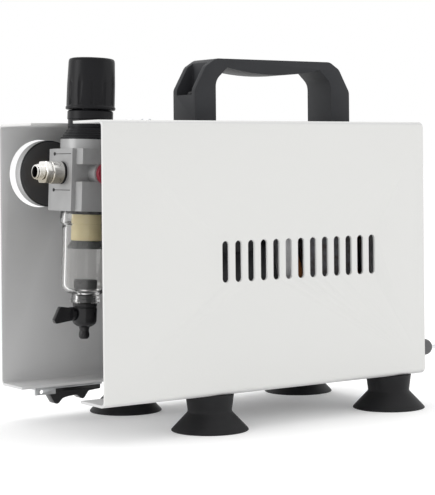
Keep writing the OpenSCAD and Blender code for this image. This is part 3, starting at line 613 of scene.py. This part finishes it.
spring_steel = metal("spring_steel", (0.42, 0.42, 0.43), 0.28, 0.0008)
wire = 1.05 * mm
spring_low, spring_high = 17.35 * mm, 27 * mm
spring_turns = 4
spring_pitch = (spring_high - spring_low - 2 * wire) / spring_turns
deselect()
bpy.ops.mesh.primitive_circle_add(vertices=14, radius=wire, rotation=(math.radians(90), 0, 0),
                                  location=(7.6 * mm, 0, spring_low + wire), fill_type="NGON")
coil = bpy.context.object
coil.name = "range_spring_coil"
bpy.ops.object.transform_apply(location=True, rotation=True)
winding = coil.modifiers.new("winding", "SCREW")
winding.axis = "Z"
winding.screw_offset = spring_pitch
winding.iterations = spring_turns
winding.steps = winding.render_steps = 32
bpy.ops.object.modifier_apply(modifier=winding.name)
put(coil, regulator)
alone(coil, "EDIT")
bpy.ops.mesh.select_all(action="SELECT")
bpy.ops.mesh.remove_doubles(threshold=same_point)
bpy.ops.mesh.normals_make_consistent(inside=False)
bpy.ops.object.mode_set(mode="OBJECT")
ease(coil, 0)
fit(coil, spring_steel, "spring_steel", "range_spring")
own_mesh(coil)

# ---------------------------------------------------------------- filter and bowl
# A sintered filter sits under the block on a flared baffle, in a bowl of clear polycarbonate
# with a thick rim, a rounded shoulder and a grooved neck for the drain.

felt = Finish("sintered_filter")
beads = felt.add("ShaderNodeTexVoronoi", Vector=felt.place, Scale=1600.0)
dampness = felt.noise(0.008, 3)
felt.set(Base_Color=felt.blend(dampness, (0.60, 0.50, 0.25), (0.74, 0.64, 0.37)))
felt.set(Roughness=0.75 + beads * 0.2)
felt.relief(beads, 0.0001)
element = turned("filter_sleeve", [
    (6.5, -42.4), (9.7, -42.4), (10, -42.1), (10, -24.2), (9.7, -23.85), (6.5, -23.85),
    (6.5, -42.4)], 64)
placed(element, regulator, felt, "filter_felt", "filter_element")

skirt_sides = 96
skirt = turned("filter_skirt", [
    (0.4, -47.3), (8.8, -47), (11.6, -47.4), (12.1, -47.4), (12.4, -47.1), (12.3, -46.3),
    (11.3, -44.9), (10.2, -43.3), (9.6, -42.6), (0, -42.4)], skirt_sides)
fluted(skirt, skirt_sides, 8, 3, 0.95, lambda r, z: r > 10.9)
stud = turned("stud", [(2.4, -44), (2.4, -21), (2, -20.8), (0, -20.8)], 24)
cross = [block("arm", (-x, -y, -22.8), (x, y, -20.8), 0.3) for x, y in ((13.4, 2), (2, 13.4))]
baffle = joined("filter_skirt", skirt, stud, *cross)
dark_green = moulded("baffle_nylon", (0.022, 0.026, 0.024), 0.4)
placed(baffle, regulator, dark_green, "baffle_plastic", "filter_baffle")


def clear(name, colour, roughness, index):
    """Clear plastic or glass, with the faint ripple that moulding leaves."""
    finish = Finish(name, Transmission_Weight=1.0, IOR=index)
    ripple = finish.noise(0.006, 1)
    finish.set(Base_Color=finish.blend(ripple, tint(colour, 0.97), colour))
    finish.set(Roughness=roughness + ripple * 0.01)
    return finish.relief(ripple, 0.00003)


def arc(radius, height, reach, rise, start, stop, steps):
    """Points on an ellipse about (radius, height), in millimetres, from one angle to another."""
    angles = [math.radians(start + (stop - start) * step / steps) for step in range(steps + 1)]
    return [(radius + reach * math.cos(a), height + rise * math.sin(a)) for a in angles]


bowl_plastic = clear("bowl_polycarbonate", (0.985, 0.98, 0.97), 0.012, 1.45)
bowl_outline = [
    (14.8, -23.9), (17, -23.9), (17.2, -24.2), (17.2, -31.2), (17.05, -31.6), (16.2, -32.1),
    (15.7, -32.8), (15.4, -69), *arc(10.2, -69.6, 5.2, 5.8, -8, -72, 8), (10, -75.8), (9.2, -76.2),
    (8.7, -76.9), (8.9, -78.6), (9.35, -79.3), (9.3, -81), (8.7, -81.5), (5.3, -81.55),
    (5.3, -74.4), (8, -73.1), *arc(8.9, -69.6, 4.2, 4.2, -60, 0, 8), (13.3, -35.6), (13.5, -33.6),
    (14.6, -30.6), (14.8, -23.9)]
bowl = turned("clear_bowl", bowl_outline, 128)
placed(bowl, regulator, bowl_plastic, "clear_bowl", "filter_bowl")
dressed("bowl_seal", seal, "seal_rubber", 0.3 * mm)

# ---------------------------------------------------------------- the drain
# A glossy black cock pushed through the bowl's neck. Its wing handle opens it by a quarter
# turn, and condensate leaves by the hose tail below.

drain = turned("drain_barrel", [
    (1.4, -67), (6.9, -67), (7.4, -67.4), (7.4, -73), (5.1, -74.3), (5.1, -81.6), (7.3, -81.6),
    (7.75, -82), (7.75, -83.6), (7.4, -84), (7.4, -84.4), (7.75, -84.8), (7.75, -93), (7, -94.7),
    (5, -96.2), (3.4, -96.9), (3, -98.4), (3.05, -99.8), (3.4, -101.4), (3.3, -103),
    (2.4, -104.2), (1.4, -104.2), (1.4, -67)], 72)
placed(drain, regulator, gloss, "black_plastic", "drain_body")
dressed("drain_lever", gloss, "black_plastic", 0.45 * mm, body="drain_cock")

# ---------------------------------------------------------------- the gauge
# A 40 mm back-entry gauge in the window in the rear panel: a blackened steel case with a
# bright rim, a white printed dial, a black needle and a push-in window. Its stem screws into
# the block.

gauge_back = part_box("gauge_case")[0].y
case_black = metal("gauge_case", (0.045, 0.046, 0.05), 0.38, 0.0009, metallic=0.35)
_, depth_in, _ = case_black.axes()
off_back = case_black.band(depth_in, gauge_back + 0.05 * mm, gauge_back + 0.15 * mm)
on_rim = case_black.band(depth_in, gauge_back + 1.1 * mm, gauge_back + 1.3 * mm)
blacks = case_black.blend(off_back, (0.07, 0.07, 0.073), (0.012, 0.012, 0.013))
case_black.set(Base_Color=case_black.blend(on_rim, blacks, (0.47, 0.47, 0.47)))
dial_white = moulded("dial_enamel", (0.80, 0.80, 0.78), 0.45, 0.0006, 0.000005, worn=1.03)
ink = moulded("dial_ink", (0.012, 0.012, 0.014), 0.5)
lens = clear("gauge_window", (0.99, 1.0, 1.0), 0.008, 1.45)
dressed("gauge_stem", brass, "brass", 0.3 * mm)
dressed("gauge_case", case_black, "gauge_paint", 0.5 * mm, segments=3)
dressed("gauge_dial", dial_white, "dial_white", 0.1 * mm)
dressed("gauge_needle", ink, "needle_black", 0.1 * mm, body="needle")
dressed("gauge_lens", lens, "gauge_glass", 0.3 * mm)

dial_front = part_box("gauge_dial")[1].y
scale_zero, scale_sweep = 45, 270
divisions, numbered = 50, 5


def scale_angle(share):
    """The dial's angle at that share of full scale, clockwise from its lowest point."""
    return math.radians(scale_zero + scale_sweep * share)


strokes = []
for step in range(divisions + 1):
    inner = 12.6 if step % 10 == 0 else 13.6 if step % 5 == 0 else 14.4
    width = 0.34 if step % 10 == 0 else 0.2
    stroke = block("stroke", (-width, -0.02, -16.2), (width, 0.06, -inner), 0)
    put(stroke, Matrix.Rotation(-scale_angle(step / divisions), 4, "Y"))
    strokes.append(stroke)
facing_rear = Matrix.Rotation(math.pi, 4, "Z") @ Matrix.Rotation(math.radians(90), 4, "X")
for number in range(numbered + 1):
    angle = scale_angle(number / numbered)
    deselect()
    bpy.ops.object.text_add()
    figure = bpy.context.object
    figure.data.body = str(number * 2)
    figure.data.size = 4.2 * mm
    figure.data.align_x = figure.data.align_y = "CENTER"
    figure.data.extrude = 0.03 * mm
    bpy.ops.object.convert(target="MESH")
    spot = Vector((math.sin(angle) * 9.6, 0.02, -math.cos(angle) * 9.6)) * mm
    put(figure, Matrix.Translation(spot) @ facing_rear)
    strokes.append(figure)
scale = joined("dial_scale", *strokes)
put(scale, Matrix.Translation((0, dial_front, 0)) @ regulator)
fit(scale, ink, "needle_black")

# ---------------------------------------------------------------- the air line
# Plated fittings in the regulator and the head, with a short hose of braided rubber.

dressed("hose_fittings", nickel, "nickel", 0.3 * mm)
braid = Finish("braided_rubber")
along, across, high_up = braid.axes()
per_strand = 2600
weave = ((along + across) * per_strand).sine() * ((along - high_up) * per_strand).sine()
raised = braid.band(weave, -0.4, 0.6)
braid.set(Base_Color=braid.blend(raised, (0.012, 0.012, 0.013), (0.035, 0.035, 0.038)))
braid.set(Roughness=0.62 + weave * 0.08)
braid.relief(weave, 0.0001)
dressed("discharge_hose", braid, "hose_rubber", 0)

# ---------------------------------------------------------------- the pump
# A diaphragm pump: a finned head over a valve plate, the membrane clamped between that and
# the crankcase, and a short rod on an eccentric that the motor turns.

cast_black = metal("cast_black", (0.05, 0.05, 0.054), 0.5, 0.0009, metallic=0.3,
                   depth=0.00004)
cast_bright = metal("cast_bright", (0.62, 0.62, 0.63), 0.42, 0.0009, depth=0.00003)
steel = metal("ground_steel", (0.55, 0.55, 0.56), 0.25, 0.0006, (1, 6, 6))
dressed("pump_head", cast_black, "black_alloy", 0.6 * mm)
dressed("head_screws", zinc, "zinc_screw", 0.12 * mm)
dressed("valve_plate", cast_bright, "cast_alloy", 0.4 * mm)
dressed("pump_diaphragm", rubber, "seal_rubber", 0.2 * mm)
dressed("crankcase", cast_black, "black_alloy", 0.6 * mm)
dressed("diaphragm_clamp", steel, "bare_steel", 0.25 * mm, body="rod")
dressed("connecting_rod", cast_bright, "cast_alloy", 0.4 * mm, body="rod")
dressed("rod_bearing", steel, "bare_steel", 0.25 * mm, body="rod")
dressed("eccentric", steel, "bare_steel", 0.3 * mm, body="crankshaft")

# ---------------------------------------------------------------- the motor
# A square induction motor: a stack of laminations with copper windings between two cast
# bells, a cast rotor on a ground shaft, and a moulded fan that blows through the grille.

laminated = Finish("laminations", Metallic=0.8)
stack, _, _ = laminated.axes()
lamination = 0.7 * mm
sheets = (stack * (2 * math.pi / lamination)).sine()
rust = laminated.noise(0.006, 4)
rusty = laminated.band(rust, 0.4, 0.75)
laminated.set(Base_Color=laminated.blend(rusty, (0.20, 0.20, 0.215), (0.12, 0.095, 0.08)))
laminated.set(Roughness=0.42 + rust * 0.2)
laminated.relief(sheets, 0.00008)
enamelled = Finish("enamelled_copper", Metallic=0.6)
turn_x, turn_y, turn_z = enamelled.axes()
strands = (turn_x * 7000 + turn_y * 2500).sine() * (turn_z * 5200).sine()
on_wire = enamelled.band(strands, -0.6, 0.7)
enamelled.set(Base_Color=enamelled.blend(on_wire, (0.22, 0.07, 0.02), (0.55, 0.22, 0.07)))
enamelled.set(Roughness=0.35 + strands * 0.05)
enamelled.relief(strands, 0.00015)
fan_grey = moulded("fan_nylon", (0.05, 0.055, 0.06), 0.45)
dressed("motor_frame", cast_bright, "cast_alloy", 0.5 * mm)
dressed("motor_stator", laminated, "lamination_steel", 0.4 * mm)
dressed("motor_windings", enamelled, "copper_winding", 0.6 * mm)
dressed("motor_rotor", steel, "rotor_steel", 0.4 * mm, body="crankshaft")
dressed("motor_shaft", steel, "bare_steel", 0.4 * mm, body="crankshaft")
dressed("shaft_bearings", steel, "bare_steel", 0.3 * mm)
dressed("cooling_fan", fan_grey, "fan_plastic", 0.3 * mm, body="crankshaft")

# ---------------------------------------------------------------- the end
# The view layer is brought up to date.

bpy.context.view_layer.update()
